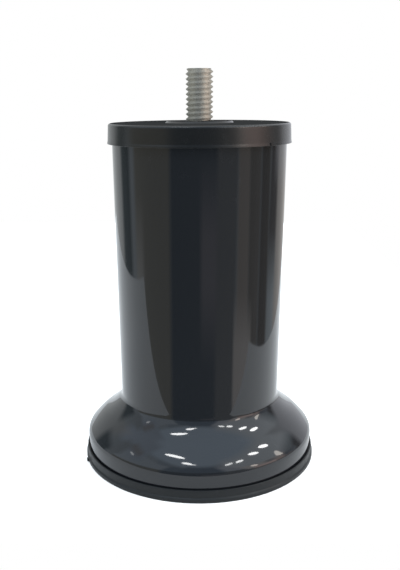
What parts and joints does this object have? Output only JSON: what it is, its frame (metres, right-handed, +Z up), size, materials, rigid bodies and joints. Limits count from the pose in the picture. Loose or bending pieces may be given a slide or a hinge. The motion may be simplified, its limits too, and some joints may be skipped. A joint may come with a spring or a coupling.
{
  "type": "sofa leg",
  "caption": "Round gloss-black furniture leg: tapered tube on a flared, bulged foot, with a push-on top cap, a threaded stud standing out of it, and a thin foot pad.",
  "frame": {"origin": "centre of the foot pad's underside, on the floor", "axes": "+Z up along the leg and out of the stud; +X to the right and +Y to the back as seen from the front"},
  "size_m": [0.0722, 0.0722, 0.1182],
  "materials": {
    "gloss_black_shell": "high-gloss moulded black",
    "satin_black_cap": "satin moulded black",
    "zinc_plated_bolt": "zinc-plated rolled thread",
    "dark_grey_pad": "satin moulded dark grey"
  },
  "bodies": {
    "root": {"shell": "gloss_black_shell", "top_cap": "satin_black_cap", "bolt": "zinc_plated_bolt", "base_pad": "dark_grey_pad"}
  },
  "joints": []
}
